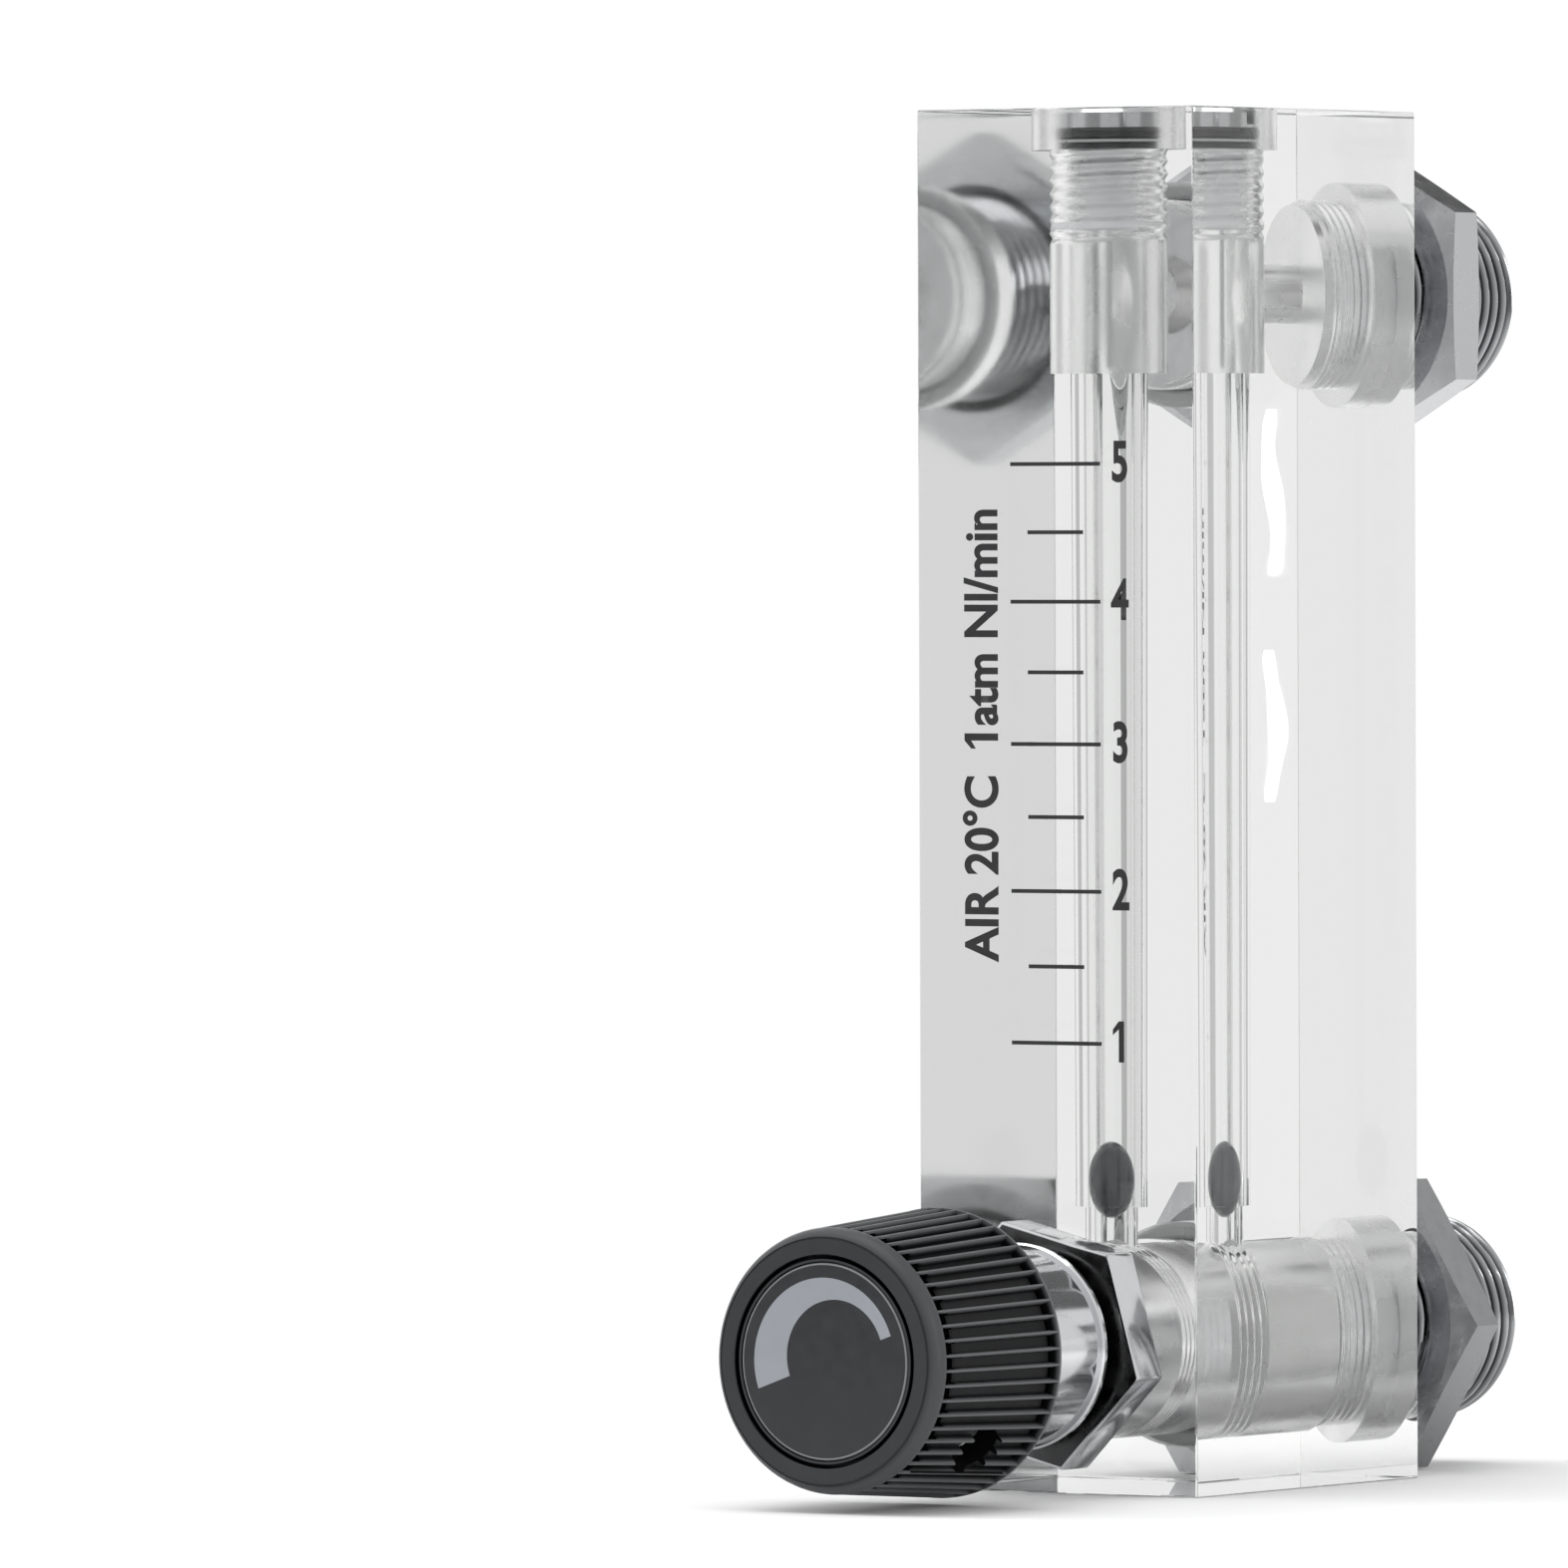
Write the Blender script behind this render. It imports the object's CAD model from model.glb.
"""Looks of the panel rotameter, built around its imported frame.  Metres, Blender 4.5."""

import math

import bmesh
import bpy
from mathutils import Matrix, Vector

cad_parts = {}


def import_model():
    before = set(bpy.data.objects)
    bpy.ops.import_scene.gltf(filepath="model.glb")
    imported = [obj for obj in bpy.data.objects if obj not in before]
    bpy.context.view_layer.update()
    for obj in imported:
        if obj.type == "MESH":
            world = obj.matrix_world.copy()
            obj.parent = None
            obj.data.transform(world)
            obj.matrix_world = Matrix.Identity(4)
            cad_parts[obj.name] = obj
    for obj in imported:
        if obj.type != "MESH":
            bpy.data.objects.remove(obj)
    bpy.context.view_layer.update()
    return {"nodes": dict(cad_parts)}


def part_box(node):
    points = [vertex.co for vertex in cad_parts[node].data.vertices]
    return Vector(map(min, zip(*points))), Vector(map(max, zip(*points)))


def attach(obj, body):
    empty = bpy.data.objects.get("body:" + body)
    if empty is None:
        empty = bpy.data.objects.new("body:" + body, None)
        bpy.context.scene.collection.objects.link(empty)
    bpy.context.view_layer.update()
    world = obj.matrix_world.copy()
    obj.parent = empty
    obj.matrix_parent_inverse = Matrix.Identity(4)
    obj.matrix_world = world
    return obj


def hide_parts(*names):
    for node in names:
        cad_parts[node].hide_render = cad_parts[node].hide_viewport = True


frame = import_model()
nodes = frame["nodes"]

MM = 0.001

# ---- places and sizes read from the frame ----


def middle(node):
    """Middle of a node's box."""
    low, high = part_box(node)
    return (low + high) / 2


def size(node):
    """Size of a node's box."""
    low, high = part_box(node)
    return high - low


BLOCK_LOW, BLOCK_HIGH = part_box("meter_block")
FRONT_Y = BLOCK_LOW.y
REAR_Y = BLOCK_HIGH.y
TOP_Z = BLOCK_HIGH.z
LOWER_Z = middle("lower_port").z
UPPER_Z = middle("upper_port").z
TUBE_Y = middle("float_ball").y
PLUG_LOW, PLUG_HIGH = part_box("top_plug")
PORT_LOW, PORT_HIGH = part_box("upper_port")
BONNET_LOW, BONNET_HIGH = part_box("valve_bonnet")
KNOB_LOW, KNOB_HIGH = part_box("knob")
LABEL_LOW, LABEL_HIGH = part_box("knob_label")
SEAT_LOW, SEAT_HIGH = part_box("valve_seat")

# ---- hidden sizes of the pieces that are drawn again with finer detail ----
EDGE_BREAK = 0.14 * MM
GAP = 0.04 * MM
HAIR = 0.01 * MM  # keeps surfaces that would coincide apart
STEP = 0.02 * MM
RING_GAP = 0.03 * MM  # around a seal ring or the label in its pocket
POCKET_GAP = 0.05 * MM

TUBE_FLOOR_Z = LOWER_Z + 10.2 * MM
TUBE_BOTTOM_R = 3.02 * MM
TUBE_TOP_R = 3.27 * MM
INLET_R = 2.2 * MM
OUTLET_CHAMBER_DEPTH = 20.2 * MM
OUTLET_PASSAGE_R = 2.3 * MM
PLUG_HEAD_THICK = 1.45 * MM
PLUG_RING_THICK = 1.65 * MM
PLUG_POCKET_R = size("top_plug_oring").x / 2 + POCKET_GAP
PLUG_THREAD_R = 4.96 * MM
PLUG_SLOT = 1.2 * MM
PLUG_PITCH = 1.0 * MM
PLUG_THREAD_DEPTH = 0.26 * MM
PLUG_CHAMFER = 0.3 * MM
TOP_SEAL_THICK = 0.86 * MM
BACKING_RING_END = 1.12 * MM  # below the plug's head
LOWER_SEAL_INSET = 0.35 * MM

PORT_SPIGOT_R = 7.26 * MM
PORT_SPIGOT_LENGTH = REAR_Y - PORT_LOW.y
PORT_SPIGOT_CHAMFER = 0.3 * MM
PORT_END_CHAMFER = 0.9 * MM
PORT_SOCKET_R = 4.3 * MM
PORT_SOCKET_DEPTH = 12.0 * MM
PORT_SOCKET_CHAMFER = 0.5 * MM
PORT_SOCKET_PITCH = 0.9 * MM
PORT_SOCKET_THREAD_DEPTH = 0.35 * MM
PORT_BORE_R = 3.0 * MM
PORT_CHAMBER_R = 6.95 * MM
PORT_CHAMBER_LENGTH = 2.3 * MM
PORT_POCKET_R = size("upper_port_oring").x / 2 + POCKET_GAP
PORT_POCKET_DEPTH = 3.2 * MM
PORT_PITCH_OUTSIDE = 1.25 * MM
PORT_THREAD_START = 0.6 * MM
PORT_THREAD_DEPTH = 0.6 * MM
INSIDE_THREAD_DEPTH = 0.16 * MM
PORT_PITCH_INSIDE = 1.0 * MM

VALVE_HOLE_R = SEAT_HIGH.x + GAP
BONNET_PITCH = 1.0 * MM
BONNET_THREAD_TURNS = 4.5
BONNET_HEX_FLATS = 17.0 * MM
BONNET_HEX_THICK = 3.7 * MM
BONNET_HEX_TURN = math.radians(-14)
BONNET_HEX_ROUND = 0.25 * MM
BONNET_NECK_R = 6.6 * MM
BONNET_NECK_LENGTH = 1.5 * MM
BONNET_LIP_R = 7.9 * MM
BONNET_LIP_THICK = 0.6 * MM
BONNET_COLLAR_R = 7.55 * MM
BONNET_CHAMFER = 0.4 * MM
BONNET_ROUND = 0.15 * MM
BONNET_GROOVE_FROM_FACE = 1.6 * MM
BONNET_GROOVE_WIDTH = 1.3 * MM
BONNET_GROOVE_DEPTH = 1.2 * MM
STEM_HOLE_R = 3.04 * MM

KNOB_RIBBED_LENGTH = 14.4 * MM
KNOB_FRONT_R = 10.0 * MM
KNOB_FACE_R = 9.15 * MM
KNOB_RIM_THICK = 0.5 * MM
KNOB_STEM_DEPTH = 14.0 * MM
KNOB_EDGE = 0.1 * MM
RIM_GROOVE = ((0.04, 0.14), (0.13, 0.16), (0.19, 0.08))  # mm outside the face, mm behind it
RIM_EDGE = ((0.36, 0.34), (0.14, 0.72))  # mm inside the rim, mm behind the face
RIM_BACK = ((0.03, 0.1), (0.0, 0.3))  # mm inside the rim, mm behind its edge
RIB_COUNT = 55
RIB_HEIGHT = 0.6 * MM
RIB_TOP_SHARE = 0.2
RIB_FOOT_SHARE = 0.34
PIT_DEPTH = 1.3 * MM
PIT_LENGTH = 0.55 * MM
SHADED_LENGTH = 1.5 * MM  # darkened front part of each groove
SHADED_BELOW_TIP = 0.2 * MM
FLANGE_THICK = 0.35 * MM
COLLAR_RECESS_R = 8.3 * MM
COLLAR_RECESS_DEPTH = 6.0 * MM
LABEL_POCKET_R = 7.98 * MM
LABEL_LIP_R = 7.68 * MM
LABEL_LIP_DEPTH = 0.12 * MM
LABEL_LINE_R = LABEL_HIGH.x - 0.25 * MM
SCREW_HOLE_R = 2.2 * MM
SCREW_HOLE_REACH = (2.0 * MM, 12 * MM)  # from the valve's axis

ROUND_STEPS = 128
HOLE_STEPS = 48
PASSAGE_STEPS = 64
RING_STEPS = 96
RING_SECTION_STEPS = 24
RING_SQUARENESS = 0.6
RIB_STEPS = 16
THREAD_FLAT, THREAD_FLANK = 0.12, 0.76  # shares of half a turn
THREAD_FADE = 0.6  # turns over which a thread runs out
THREAD_STEPS = 8  # rows per turn
SHARP_ANGLE = math.radians(25)


# ---- mesh tools ----


def link(name, data):
    """New object in the scene around this data."""
    obj = bpy.data.objects.new(name, data)
    bpy.context.scene.collection.objects.link(obj)
    return obj


def mesh_from(name, bm):
    """Mesh with normals that face outwards, smooth but for its sharp edges."""
    bmesh.ops.recalc_face_normals(bm, faces=bm.faces)
    mesh = bpy.data.meshes.new(name)
    bm.to_mesh(mesh)
    bm.free()
    smooth(mesh)
    return mesh


def smooth(mesh):
    mesh.polygons.foreach_set("use_smooth", [True] * len(mesh.polygons))
    mesh.set_sharp_from_angle(angle=SHARP_ANGLE)


def turned(name, outline, frame_of_axis, steps=ROUND_STEPS, closed=False):
    """Object turned about an axis.

    outline holds (radius, place) or (radius, place, relief) rows along the profile; relief is a
    function of angle and place that is added to the radius.  frame_of_axis maps the local frame,
    whose Z is the axis, to the scene.  closed joins the last row to the first, for a ring.
    """
    bm = bmesh.new()
    rings = []
    for row in outline:
        radius, place = row[0], row[1]
        relief = row[2] if len(row) > 2 else None
        if radius == 0:
            rings.append([bm.verts.new(frame_of_axis @ Vector((0, 0, place)))])
            continue
        ring = []
        for i in range(steps):
            angle = 2 * math.pi * i / steps
            r = radius + (relief(angle, place) if relief else 0)
            point = Vector((r * math.cos(angle), r * math.sin(angle), place))
            ring.append(bm.verts.new(frame_of_axis @ point))
        rings.append(ring)
    pairs = list(zip(rings, rings[1:]))
    if closed:
        pairs.append((rings[-1], rings[0]))
    for low, high in pairs:
        for i in range(steps):
            j = (i + 1) % steps
            if len(low) == 1:
                bm.faces.new((low[0], high[i], high[j]))
            elif len(high) == 1:
                bm.faces.new((low[i], low[j], high[0]))
            else:
                bm.faces.new((low[i], low[j], high[j], high[i]))
    return link(name, mesh_from(name, bm))


def axis_y(z):
    """Local Z runs along scene +Y, local X along scene +X, from the point (0, 0, z)."""
    return Matrix(((1, 0, 0, 0), (0, 0, 1, 0), (0, -1, 0, z), (0, 0, 0, 1)))


def axis_tube():
    """Local Z is the tube's axis."""
    return Matrix.Translation(Vector((0, TUBE_Y, 0)))


def thread_rows(radius, start, end, pitch, depth):
    """Rows of a screw thread whose crests lie at radius; a negative depth cuts outwards."""
    low, high = min(start, end), max(start, end)
    count = max(2, round((high - low) / pitch * THREAD_STEPS))

    def relief(angle, place):
        phase = (place / pitch - angle / (2 * math.pi)) % 1
        ridge = 1 - abs(2 * phase - 1)
        ridge = min(1, max(0, (ridge - THREAD_FLAT) / THREAD_FLANK))
        inset = min(place - low, high - place) / (THREAD_FADE * pitch)
        return -depth * (1 - ridge) * min(1, max(0, inset))

    places = [low + (high - low) * i / count for i in range(count + 1)]
    if start > end:
        places.reverse()
    return [(radius, place, relief) for place in places]


def hexagon(name, across_flats, low, high, z, turn, edge_round):
    """Hexagonal plate with rounded edges, whose axis runs along Y at height z."""
    bm = bmesh.new()
    corner = across_flats / math.sqrt(3)
    rings = []
    for y in (low, high):
        ring = []
        for i in range(6):
            a = turn + math.radians(60 * i)
            ring.append(bm.verts.new((corner * math.cos(a), y, z + corner * math.sin(a))))
        rings.append(ring)
    for i in range(6):
        j = (i + 1) % 6
        bm.faces.new((rings[0][i], rings[0][j], rings[1][j], rings[1][i]))
    bm.faces.new(rings[0])
    bm.faces.new(list(reversed(rings[1])))
    bmesh.ops.bevel(bm, geom=bm.edges[:], offset=edge_round, segments=2, profile=0.6,
                    affect="EDGES")
    return link(name, mesh_from(name, bm))


def combine(target, others, operation):
    """Booleans others into target with the exact solver and removes them."""
    for other in others:
        modifier = target.modifiers.new("combine", "BOOLEAN")
        modifier.operation = operation
        modifier.solver = "EXACT"
        modifier.object = other
        bpy.context.view_layer.update()
        graph = bpy.context.evaluated_depsgraph_get()
        mesh = bpy.data.meshes.new_from_object(target.evaluated_get(graph))
        target.modifiers.clear()
        old = target.data
        target.data = mesh
        mesh.name = old.name
        bpy.data.meshes.remove(old)
        old = other.data
        bpy.data.objects.remove(other)
        bpy.data.meshes.remove(old)
    smooth(target.data)


def dress(obj, *made):
    """Gives the object these materials in place of what it had."""
    obj.data.materials.clear()
    for material in made:
        obj.data.materials.append(material)


def place(obj, body, slot, replaced=()):
    """Tells the frame the piece's body, its finish and the nodes it stands for."""
    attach(obj, body)
    if replaced:
        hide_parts(*replaced)


# ---- node trees ----


def add_node(tree, kind, **values):
    """New node; a value goes to the input of that name, or else to the node's own setting."""
    node = tree.nodes.new(kind)
    for key, value in values.items():
        if key in node.inputs:
            node.inputs[key].default_value = value
        else:
            setattr(node, key, value)
    return node


def fill(tree, pairs):
    """Sets each socket to its value, which is a number, a colour or another node's output."""
    for socket, value in pairs:
        if isinstance(value, bpy.types.NodeSocket):
            tree.links.new(value, socket)
        elif isinstance(value, tuple):
            socket.default_value = (*value, 1)
        else:
            socket.default_value = value


def map_range(tree, source, start, end, low, high, **settings):
    """low where source is at or before start, high at or past end."""
    node = add_node(tree, "ShaderNodeMapRange", **settings)
    names = ("Value", "From Min", "From Max", "To Min", "To Max")
    fill(tree, zip((node.inputs[name] for name in names), (source, start, end, low, high)))
    return node.outputs["Result"]


def calculate(tree, operation, *values):
    node = add_node(tree, "ShaderNodeMath", operation=operation)
    fill(tree, zip(node.inputs, values))
    return node.outputs[0]


# ---- materials ----

BUMP_DEEP = 0.02 * MM
BUMP_FINE = 0.01 * MM
# Scales of the noise, from broad to fine.
TONE_METAL, TONE_PLASTIC = 160, 300
SMEARS_ACRYLIC, SMEARS_METAL, SMEARS_NUT, SMEARS_PLASTIC = 220, 700, 800, 900
GRAIN_BORE, GRAIN_METAL, GRAIN_PLASTIC = 900, 2500, 4000
BORE_STRETCH = (1, 1, 0.08)  # draws the bores' grain out along Z
NOISE_RANGE = (0.3, 0.7)  # where most of the noise's values lie
ACRYLIC_IOR = 1.49


class Nodes:
    """Small helper around one material's node tree; its shader is the Principled one."""

    def __init__(self, name):
        self.material = bpy.data.materials.new(name)
        self.material.use_nodes = True
        self.tree = self.material.node_tree
        self.shader = self.tree.nodes["Principled BSDF"]

    def add(self, kind, **values):
        return add_node(self.tree, kind, **values)

    def join(self, out, socket):
        self.tree.links.new(out, socket)

    def set(self, **values):
        for key, value in values.items():
            self.shader.inputs[key.replace("_", " ")].default_value = value

    def position(self):
        return self.add("ShaderNodeTexCoord").outputs["Object"]

    def noise(self, scale, detail=2.0, stretch=None):
        source = self.position()
        if stretch:
            mapping = self.add("ShaderNodeMapping", Scale=stretch)
            self.join(source, mapping.inputs["Vector"])
            source = mapping.outputs["Vector"]
        noise = self.add("ShaderNodeTexNoise", Scale=scale, Detail=detail)
        self.join(source, noise.inputs["Vector"])
        return noise.outputs["Fac"]

    def spread(self, source, low, high, start=NOISE_RANGE[0], end=NOISE_RANGE[1]):
        """Values from low to high while source goes from start to end."""
        return map_range(self.tree, source, start, end, low, high)

    def math(self, operation, *values):
        return calculate(self.tree, operation, *values)

    def both(self, first, second):
        """Product of two shares."""
        return self.math("MULTIPLY", first, second)

    def mix(self, share, dark, light):
        node = self.add("ShaderNodeMix", data_type="RGBA")
        fill(self.tree, ((node.inputs[0], share), (node.inputs[6], dark), (node.inputs[7], light)))
        return node.outputs[2]

    def colour(self, source):
        self.join(source, self.shader.inputs["Base Color"])

    def bump(self, source, strength, distance):
        bump = self.add("ShaderNodeBump", Strength=strength, Distance=distance)
        self.join(source, bump.inputs["Height"])
        self.join(bump.outputs["Normal"], self.shader.inputs["Normal"])

    def rough(self, source):
        self.join(source, self.shader.inputs["Roughness"])

    def metal_finish(self, low, high, relief, smears=SMEARS_METAL):
        """Roughness between low and high in smears, over a fine grain."""
        self.rough(self.spread(self.noise(smears, 4), low, high))
        self.bump(self.noise(GRAIN_METAL), relief, BUMP_FINE)

    def plastic_finish(self, low, high, relief):
        self.rough(self.spread(self.noise(SMEARS_PLASTIC), low, high))
        self.bump(self.noise(GRAIN_PLASTIC), relief, BUMP_DEEP)

    def from_axis(self, z):
        """Distance of the shaded point from the line along Y at height z, and its place on it."""
        split = self.add("ShaderNodeSeparateXYZ")
        self.join(self.position(), split.inputs[0])
        height = self.math("SUBTRACT", split.outputs["Z"], z)
        across = self.math("POWER", split.outputs["X"], 2.0)
        square = self.math("ADD", across, self.math("POWER", height, 2.0))
        return self.math("SQRT", square), split.outputs["Y"]

    def past(self, source, start, width):
        """0 up to start and 1 beyond start + width."""
        return self.spread(source, 0.0, 1.0, start, start + width)

    def before(self, source, start, width):
        """1 up to start and 0 beyond start + width."""
        return self.spread(source, 1.0, 0.0, start, start + width)


def clear_plastic(name, tint, roughness_low, roughness_high, bump, clearness=1.0):
    """Acrylic; a tint below 1 dims the light at each surface."""
    n = Nodes(name)
    n.set(Transmission_Weight=clearness, IOR=ACRYLIC_IOR, Base_Color=(tint, tint * 1.006, tint, 1))
    n.rough(n.spread(n.noise(SMEARS_ACRYLIC), roughness_low, roughness_high))
    if bump:
        n.bump(n.noise(GRAIN_BORE, stretch=BORE_STRETCH), bump, BUMP_DEEP)
    return n.material


def chrome(name, tone=0.72, roughness=0.1, metallic=1.0, cool=0.03):
    """Plated metal; cool is how much more blue than red it shows."""
    n = Nodes(name)
    n.set(Metallic=metallic)
    dark = (tone * 0.94, tone * (0.94 + cool / 3), tone * (0.94 + cool))
    light = (tone, tone * (1 + cool / 3), tone * (1 + cool))
    n.colour(n.mix(n.noise(TONE_METAL), dark, light))
    n.metal_finish(roughness * 0.7, roughness * 1.4, 0.08)
    return n.material


# The knob's tones, and where they change: start and width of each change.
KNOB_TONES = ((0.041, 0.044, 0.047), (0.05, 0.053, 0.056))
RIM_TONE = (0.068, 0.071, 0.075)
RIB_TONE = (0.115, 0.12, 0.124)
GROOVE_TONE = (0.008, 0.0085, 0.009)
DEEPEST_TONE = (0.0005,) * 3
HOLLOW_TONE = (0.001,) * 3
RIM_FROM = (KNOB_FACE_R + 0.2 * MM, 0.3 * MM)  # from the axis
GROOVE_FROM = (0.12 * MM, 0.33 * MM)  # below the ribs' tops
DEEPEST_FROM = (0.7 * MM, 0.25 * MM)
RIBS_FROM = (0.0, 0.06 * MM)  # behind the ribs' front ends
FIRST_PART_TO = (1.8 * MM, 0.15 * MM)
RECESS_FROM = (3.0 * MM, 0.2 * MM)
LIP_BLUR, LIP_BACK_BLUR, MOAT_BLUR, RECESS_BLUR = 0.03 * MM, 0.08 * MM, 0.06 * MM, 0.08 * MM


def ribbed_plastic(name):
    """Moulded black plastic of the knob.

    It is paler along the ribs' tops and the rim's rounded edge, and darker between the ribs, in the
    moat around the label and in the recess behind.
    """
    n = Nodes(name)
    radius, along = n.from_axis(LOWER_Z)
    taper = (KNOB_HIGH.x - KNOB_FRONT_R) / KNOB_RIBBED_LENGTH
    behind_ribs = n.math("SUBTRACT", along, KNOB_HIGH.y - KNOB_RIBBED_LENGTH)
    behind_face = n.math("SUBTRACT", along, KNOB_LOW.y)
    tip = n.math("ADD", n.both(behind_ribs, taper), KNOB_FRONT_R)
    depth = n.math("SUBTRACT", tip, radius)
    ribbed = n.past(behind_ribs, *RIBS_FROM)
    groove = n.both(n.past(depth, *GROOVE_FROM), ribbed)
    first = n.both(n.before(behind_ribs, *FIRST_PART_TO), groove)
    deepest = n.both(n.past(depth, *DEEPEST_FROM), ribbed)
    lip = n.both(n.before(radius, LABEL_LIP_R - STEP, LIP_BLUR),
                 n.before(behind_face, LABEL_LIP_DEPTH + STEP, LIP_BACK_BLUR))
    moat = n.math("SUBTRACT", n.before(radius, LABEL_POCKET_R + STEP, MOAT_BLUR), lip)
    recess = n.both(n.before(radius, COLLAR_RECESS_R + STEP, RECESS_BLUR),
                    n.past(behind_ribs, *RECESS_FROM))
    edge = n.math("SUBTRACT", n.past(radius, *RIM_FROM), ribbed)
    body = n.mix(n.noise(TONE_PLASTIC, 3), *KNOB_TONES)
    for share, colour in (
        (n.math("MAXIMUM", edge, 0.0), RIM_TONE),
        (n.math("SUBTRACT", ribbed, groove), RIB_TONE),
        (groove, GROOVE_TONE),
        (n.math("MAXIMUM", deepest, first), DEEPEST_TONE),
        (n.math("MAXIMUM", moat, recess), HOLLOW_TONE),
    ):
        body = n.mix(share, body, colour)
    n.colour(body)
    n.set(Specular_IOR_Level=0.12)
    n.plastic_finish(0.3, 0.4, 0.1)
    return n.material


FOIL_TONES = ((0.02, 0.022, 0.024), (0.025, 0.027, 0.029))
FOIL_LINE_TONE = (0.23, 0.235, 0.24)
FOIL_BORDER_TONE = (0.024, 0.026, 0.028)
FOIL_LINE_WIDTH = 0.13 * MM
FOIL_BLUR = 0.04 * MM


def label_face(name):
    """Smooth dark foil with a thin pale line near its edge."""
    n = Nodes(name)
    radius, _along = n.from_axis(LOWER_Z)
    face = n.mix(n.noise(TONE_PLASTIC, 3), *FOIL_TONES)
    face = n.mix(n.past(radius, LABEL_LINE_R, FOIL_BLUR), face, FOIL_LINE_TONE)
    border = n.past(radius, LABEL_LINE_R + FOIL_LINE_WIDTH, FOIL_BLUR)
    n.colour(n.mix(border, face, FOIL_BORDER_TONE))
    n.plastic_finish(0.3, 0.4, 0.02)
    return n.material


NUT_FACE_RANGE = (0.92, 0.98)  # how squarely a surface faces along the axis: flat, face


def nut_plate(name, face, flat):
    """Plated nut whose turned faces and wrench flats have tones of their own."""
    n = Nodes(name)
    n.set(Metallic=1.0)
    split = n.add("ShaderNodeSeparateXYZ")
    n.join(n.add("ShaderNodeTexCoord").outputs["Normal"], split.inputs[0])
    share = n.spread(n.math("ABSOLUTE", split.outputs["Y"]), 0.0, 1.0, *NUT_FACE_RANGE)
    n.colour(n.mix(share, (flat * 0.97, flat * 0.98, flat), (face * 0.98, face, face * 1.02)))
    n.metal_finish(0.16, 0.3, 0.1, smears=SMEARS_NUT)
    return n.material


THREAD_TONES = ((0.03, 0.032, 0.035), (0.44, 0.45, 0.46))
ROOT_BELOW_CREST = 0.35 * MM


def thread_metal(name, z, crest):
    """Plated thread around the axis at height z: bright crests and dark roots."""
    n = Nodes(name)
    n.set(Metallic=1.0)
    share = n.spread(n.from_axis(z)[0], 0.0, 1.0, crest - ROOT_BELOW_CREST, crest - STEP)
    n.colour(n.mix(share, *THREAD_TONES))
    n.metal_finish(0.14, 0.26, 0.1)
    return n.material


def plastic(name, dark, light, roughness, relief=0.1, specular=None):
    """Plain coloured plastic, rubber or ink."""
    n = Nodes(name)
    n.colour(n.mix(n.noise(TONE_PLASTIC, 3), dark, light))
    if specular is not None:
        n.set(Specular_IOR_Level=specular)
    n.plastic_finish(roughness * 0.85, roughness * 1.15, relief)
    return n.material


BLACK = ((0.001,) * 3, (0.002,) * 3)

POLISHED = clear_plastic("acrylic_polished", 0.85, 0.0, 0.015, 0)
SOFT_SIDE = clear_plastic("acrylic_soft_side", 0.85, 0.08, 0.1, 0)
BORED = clear_plastic("acrylic_bored", 0.96, 0.02, 0.05, 0.1)
MACHINED = clear_plastic("acrylic_machined", 0.97, 0.2, 0.32, 0.2)
SEAT = clear_plastic("seat_plastic", 0.98, 0.2, 0.3, 0.1, clearness=0.12)
CHROME = chrome("chrome_plate")
SATIN = chrome("satin_spigot", 0.94, 0.42, metallic=0.5)
BRIGHT_BORE = chrome("bright_bore", 0.95, 0.12, cool=0.0)
HEAD_CHROME = chrome("head_chrome", 0.6, 0.06)
BLACKENED = chrome("blackened_face", 0.09, 0.25)
STEEL = chrome("turned_steel", 0.62, 0.2)
NUT_PLATE = nut_plate("nut_plate", 0.68, 0.58)
DULL_NUT_PLATE = nut_plate("nut_plate_dull", 0.64, 0.3)
KNOB = ribbed_plastic("knob_plastic")
HOLE_BLACK = plastic("hole_black", *BLACK, 0.6, relief=0.02, specular=0.1)
PIT_BLACK = plastic("pit_black", *BLACK, 0.6, relief=0.02, specular=0.0)
LABEL = label_face("label_face")
ARC = plastic("label_arc_ink", (0.29, 0.31, 0.34), (0.33, 0.35, 0.385), 0.45, relief=0.02)
INK = plastic("scale_ink", (0.012, 0.012, 0.014), (0.02, 0.02, 0.022), 0.5, relief=0.02)
BALL = plastic("float_surface", (0.07, 0.079, 0.087), (0.094, 0.104, 0.113), 0.2, relief=0.02)
BLACK_RUBBER = plastic("seal_black", (0.008, 0.009, 0.011), (0.014, 0.016, 0.019), 0.35)
PALE_RUBBER = plastic("seal_pale", (0.62, 0.63, 0.64), (0.7, 0.71, 0.72), 0.45)


# ---- the clear block ----


def plug_thread(radius, start, end):
    return thread_rows(radius, start, end, PLUG_PITCH, PLUG_THREAD_DEPTH)


def tube_column():
    """What is hollow on the tube's axis, with the plug's thread in its upper wall."""
    chamber_floor = TOP_Z - OUTLET_CHAMBER_DEPTH
    pocket_floor = TOP_Z - PLUG_HEAD_THICK - PLUG_RING_THICK
    thread_end = PLUG_LOW.z
    chamber_r = PLUG_THREAD_R + GAP
    return turned("tube_column", [
        (0, LOWER_Z),
        (INLET_R, LOWER_Z),
        (INLET_R, TUBE_FLOOR_Z),
        (TUBE_BOTTOM_R, TUBE_FLOOR_Z),
        (TUBE_TOP_R, chamber_floor),
        (chamber_r, chamber_floor),
        *plug_thread(chamber_r, thread_end - PLUG_PITCH, pocket_floor),
        (PLUG_POCKET_R, pocket_floor),
        (PLUG_POCKET_R, TOP_Z + EDGE_BREAK),
        (0, TOP_Z + EDGE_BREAK),
    ], axis_tube())


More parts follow.
